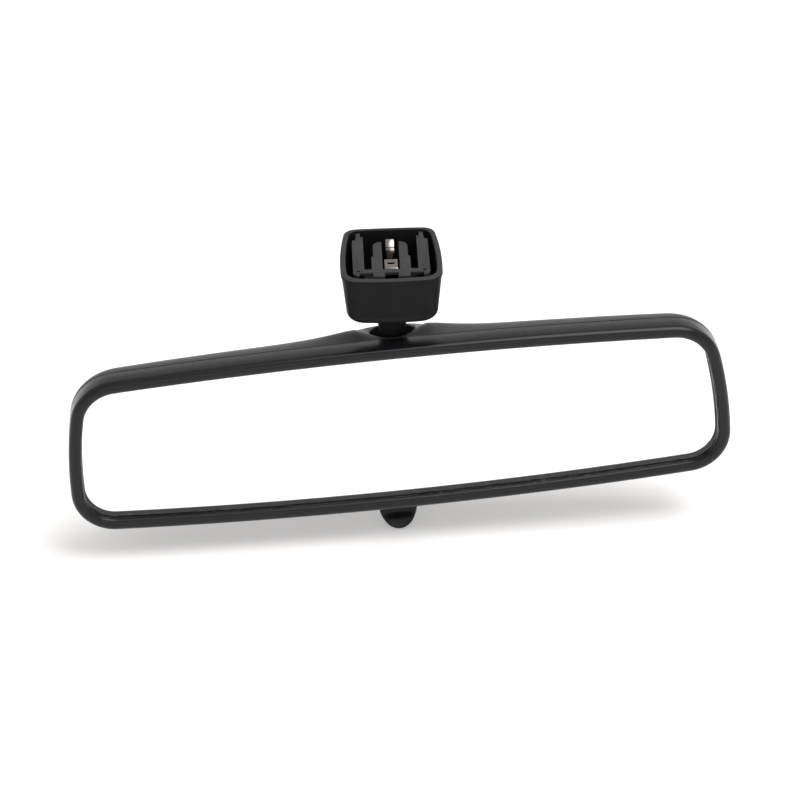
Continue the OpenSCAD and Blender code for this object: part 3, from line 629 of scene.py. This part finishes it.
GLASS_LIP = 2
GLASS_GAP = 0.02
GLASS_THIN = 3.2
GLASS_SLOPE = math.tan(math.radians(2.96))
GROUND_EDGE = 0.3
GROUND_SHARE = 0.08
glass_bottom = mid_z - half_h - GLASS_LIP


def glass_back(z):
    """The glass's thickness at a height, less the gap that keeps it a hair clear of the silver."""
    return GLASS_THIN + GLASS_SLOPE * (z - glass_bottom) - GLASS_GAP


def prism_glass():
    """The wedge of glass with ground edges."""
    bm = bmesh.new()

    def ring(grow, share):
        return [(p.x, glass_y + share * glass_back(p.y + mid_z), p.y + mid_z)
                for p in outline(HEAD_SHAPE, grow)]

    add_rings(bm, [ring(GLASS_LIP - GROUND_EDGE, 0), ring(GLASS_LIP, GROUND_SHARE),
                   ring(GLASS_LIP, 1 - GROUND_SHARE), ring(GLASS_LIP - GROUND_EDGE, 1)],
              first=(0, glass_y, mid_z), last=(0, glass_y + glass_back(mid_z), mid_z))
    finish_mesh("prism_glass_clear", bm, HEAD, "head", "mirror_glass", ["prism_glass"], sharp=15)


prism_glass()

# ---- lever: the paddle's heights are measured down from the pin, the cheeks' up from it ----
# A pair is where a change starts and where it ends

SHANK_START, SHANK_T = 6, 4.4
SHANK_WIDENS, SHANK_IN = (7, 9), 1.2
PADDLE_START, PADDLE_END, PADDLE_HALF = 11, 21.7, 7.2
PADDLE_THINS, PADDLE_THIN = (8, 16), 0.55
TIP_CURVE, TIP_ROUND = 2.2, 8
SECTION_SQUARE = 0.6
SCOOP, SCOOP_HALF, SCOOP_POWER = 1.9, 6.6, 2.4
SCOOP_STARTS, SCOOP_ENDS = (9.5, 13.5), (15.6, 18.2)
CURL, CURL_FROM_TO, CURL_AT_TIP = 0.9, (17, 22), 0.85
ROW_CROWDING = 1.6
TIP_GAP = 0.02
CHEEK_X, CHEEK_T, CHEEK_EDGE, CHEEK_MID_Z = 3, 2, 0.3, 1
CHEEK_TOP, CHEEK_LOW, BLOCK_EDGE = -1, -7, 0.4
FACE_Y_SCALE, FACE_Z_SCALE = 0.9, 0.93
HUB_R, CRANK_R, CRANK_PIN_R, PIN_IN = 3, 2.1, 1.2, 0.5
crank_z = local_box("day_night_lever", LEVER)[1].z - CRANK_R


def paddle_ring(z, sides=48):
    """A cross-section of the shank and paddle, scooped on the driver's side."""
    tip = max(0.0, (z - PADDLE_START) / (PADDLE_END - PADDLE_START))
    half = PADDLE_HALF * math.sqrt(max(0.0, 1 - tip ** TIP_CURVE))
    half -= SHANK_IN * (1 - eased(z, *SHANK_WIDENS))
    thin = PADDLE_THIN + (1 - PADDLE_THIN) * (1 - eased(z, *PADDLE_THINS))
    thick = SHANK_T / 2 * thin * math.sqrt(max(0.0, 1 - tip ** TIP_ROUND))
    scoop = SCOOP * eased(z, *SCOOP_STARTS) * (1 - eased(z, *SCOOP_ENDS))
    curl = CURL * eased(z, *CURL_FROM_TO)
    ring = []
    for a in full_turn(sides):
        c, s = math.cos(a), math.sin(a)
        x = half * math.copysign(abs(c) ** SECTION_SQUARE, c)
        y = thick * math.copysign(abs(s) ** SECTION_SQUARE, s)
        if s < 0:
            y += scoop * (1 - min(1.0, abs(x) / SCOOP_HALF) ** SCOOP_POWER)
        ring.append((x, y - curl, -z))
    return ring


def cheek_point(a):
    """A point on a cheek's outline: the hub's half round below, the crank's above."""
    radius, centre_z = (CRANK_R, crank_z) if math.sin(a) > 0 else (HUB_R, 0)
    return Vector((0, radius * math.cos(a), radius * math.sin(a) + centre_z))


def at_x(x, points):
    return [Vector((x, p.y, p.z)) for p in points]


def lever():
    """Scooped finger paddle on a shank, with hub and crank cheeks above it and the pin across them."""
    bm = bmesh.new()
    rows = 30
    long = PADDLE_END - SHANK_START - TIP_GAP
    heights = [SHANK_START + long * (1 - (1 - i / (rows - 1)) ** ROW_CROWDING) for i in range(rows)]
    add_rings(bm, [paddle_ring(z) for z in heights],
              first=(0, 0, -SHANK_START), last=(0, -CURL_AT_TIP, -PADDLE_END))
    cheek = [cheek_point(a) for a in full_turn(40)]
    face = [Vector((0, p.y * FACE_Y_SCALE, p.z * FACE_Z_SCALE)) for p in cheek]
    for side in (-1, 1):
        x0, x1 = sorted((side * CHEEK_X, side * (CHEEK_X + CHEEK_T)))
        add_block(bm, (x0, -SHANK_T / 2, CHEEK_LOW), (x1, SHANK_T / 2, CHEEK_TOP), BLOCK_EDGE)
        add_rings(bm, [at_x(x0, face), at_x(x0 + CHEEK_EDGE, cheek), at_x(x1 - CHEEK_EDGE, cheek),
                       at_x(x1, face)], first=(x0, 0, CHEEK_MID_Z), last=(x1, 0, CHEEK_MID_Z))
    pin = [Vector((0, CRANK_PIN_R * math.cos(a), crank_z + CRANK_PIN_R * math.sin(a)))
           for a in full_turn(40)]
    reach = CHEEK_X + PIN_IN
    add_rings(bm, [at_x(-reach, pin), at_x(reach, pin)],
              first=(-reach, 0, crank_z), last=(reach, 0, crank_z))
    finish_mesh("day_night_lever_sculpted", bm, LEVER, "lever", "lever_plastic", ["day_night_lever"],
                sharp=50)


lever()

# ---- CAD pieces whose shape is right: softened edges and their materials ----

SAME_POINT = 1e-7
FLAT = math.radians(1)
SHARP = math.radians(32)
EDGE_R = {"rail_insert": 0.22, "spring_clip": 0.1, "clip_rivet": 0.2, "stem_screws": 0.1,
          "cap_screws": 0.1, "frame_screws": 0.1, "carrier_bracket": 0.2, "mechanism_frame": 0.2,
          "socket_cap": 0.15, "pivot_pins": 0.15, "lever_pin": 0.15, "detent_spring": 0.05,
          "detent_screw": 0.08, "spring_plug": 0.15, "stop_bumpers": 0.2}
# Hidden or already smooth, so they keep the CAD's mesh
KEPT = ("upper_ball_seat", "lower_ball_seat", "pressure_pad", "pressure_spring", "foam_backing",
        "mirror_silvering")
slots = {node: frame["nodes"][node].data.materials[0].name for node in frame["nodes"]}
bodies = frame["record"]["behaviour"]["bodies"]
body_of = {node: body for body, members in bodies.items() for node in members}


def soften(node, body, slot, edge):
    """A copy of a CAD node with its edges rounded."""
    bm = bmesh.new()
    bm.from_mesh(frame["nodes"][node].data)
    bmesh.ops.remove_doubles(bm, verts=bm.verts, dist=SAME_POINT)
    bmesh.ops.dissolve_limit(bm, angle_limit=FLAT, verts=bm.verts, edges=bm.edges)
    bm.normal_update()
    edges = [e for e in bm.edges if len(e.link_faces) == 2 and e.calc_face_angle() > SHARP]
    bmesh.ops.bevel(bm, geom=edges, offset=edge * MM, segments=2, profile=0.5, affect="EDGES",
                    clamp_overlap=True)
    finish_mesh(node + "_soft", bm, Matrix.Identity(4), body, slot, [node], sharp=40)


for node, edge in EDGE_R.items():
    soften(node, body_of[node], slots[node], edge)
for node in KEPT:
    frame["nodes"][node].material_slots[0].material = materials[slots[node]]

# ---- studio: metres ----

FLOOR_RADII = (0.3, 0.8, 2.2)
SWEEP_R = 1.2
FLOOR_GLOW = 0.16
WORLD_LIGHT = 0.68
floor_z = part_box("day_night_lever")[0].z


def floor_paper():
    """White paper with the faintest mottling and a little light of its own."""
    material, nodes, links, shader = new_material("floor_paper")
    shader.inputs["Roughness"].default_value = 0.9
    shader.inputs["Specular IOR Level"].default_value = 0.1
    cloud = noise(nodes, links, 3, detail=3)
    paper = ramp(nodes, links, cloud, (0.895, 0.89, 0.885), (0.915, 0.91, 0.905))
    links.new(paper, shader.inputs["Base Color"])
    shader.inputs["Emission Color"].default_value = (1, 0.99, 0.985, 1)
    shader.inputs["Emission Strength"].default_value = FLOOR_GLOW
    return material


def studio_floor():
    """A pale round floor that sweeps up into a low wall."""
    bm = bmesh.new()
    profile = [(r, 0) for r in FLOOR_RADII]
    profile += [(FLOOR_RADII[-1] + SWEEP_R * math.sin(a), SWEEP_R * (1 - math.cos(a)))
                for a in quarter_turn(16)[1:]]
    add_rings(bm, [[(r * math.cos(a), r * math.sin(a), floor_z + z) for a in full_turn(96)]
                   for r, z in profile], first=(0, 0, floor_z))
    mesh = bpy.data.meshes.new("floor")
    bm.to_mesh(mesh)
    bm.free()
    mesh.shade_smooth()
    mesh.materials.append(floor_paper())
    floor = bpy.data.objects.new("floor", mesh)
    bpy.context.scene.collection.objects.link(floor)


def softbox(name, offset, width, height, power):
    """A rectangular lamp, placed from the object's middle and aimed at it."""
    middle = (cad_box[0] + cad_box[1]) / 2
    light = bpy.data.lights.new(name, "AREA")
    light.shape = "RECTANGLE"
    light.size, light.size_y = width, height
    light.energy = power
    lamp = bpy.data.objects.new(name, light)
    lamp.location = middle + Vector(offset)
    lamp.rotation_euler = (-Vector(offset)).to_track_quat("-Z", "Y").to_euler()
    bpy.context.scene.collection.objects.link(lamp)


def surroundings():
    world = bpy.data.worlds.new("studio")
    bpy.context.scene.world = world
    world.use_nodes = True
    background = world.node_tree.nodes["Background"]
    background.inputs["Color"].default_value = (1, 0.995, 0.99, 1)
    background.inputs["Strength"].default_value = WORLD_LIGHT


studio_floor()
softbox("overhead", (0.45, -0.1, 1.2), 1.0, 0.9, 14)
softbox("front_fill", (0.1, -1.5, 0.7), 1.6, 0.8, 3.5)
surroundings()

# ---- camera: a long lens, placed from the middle of the glass, in the head's frame ----

CAMERA_TURN = math.radians(-2.855)
CAMERA_RISE = math.radians(31.4)
CAMERA_ROLL = math.radians(4.235)
CAMERA_FAR = 1078.664
CAMERA_RIGHT, CAMERA_UP = 0.0399, 9.95535
LENS, SENSOR = 135, 36
NEAREST = 0.05


def camera():
    """The camera stands back from the glass, then moves aside and up by CAMERA_RIGHT and CAMERA_UP."""
    turn, rise, roll = CAMERA_TURN, CAMERA_RISE, CAMERA_ROLL
    right = Vector((math.cos(turn), math.sin(turn), 0))
    back = Vector((math.sin(turn) * math.cos(rise), -math.cos(turn) * math.cos(rise), math.sin(rise)))
    up = back.cross(right)
    right, up = math.cos(roll) * right - math.sin(roll) * up, math.sin(roll) * right + math.cos(roll) * up
    place = Vector((0, glass_y, mid_z)) + back * CAMERA_FAR + right * CAMERA_RIGHT + up * CAMERA_UP
    turned = Matrix((right, up, back)).transposed().to_4x4()
    data = bpy.data.cameras.new("camera")
    data.lens, data.sensor_width = LENS, SENSOR
    data.clip_start = NEAREST
    cam = bpy.data.objects.new("camera", data)
    cam.matrix_world = Matrix.Translation(HEAD @ place) @ head_turn @ turned
    bpy.context.scene.collection.objects.link(cam)
    bpy.context.scene.camera = cam


camera()
bpy.context.scene.view_settings.view_transform = "Standard"
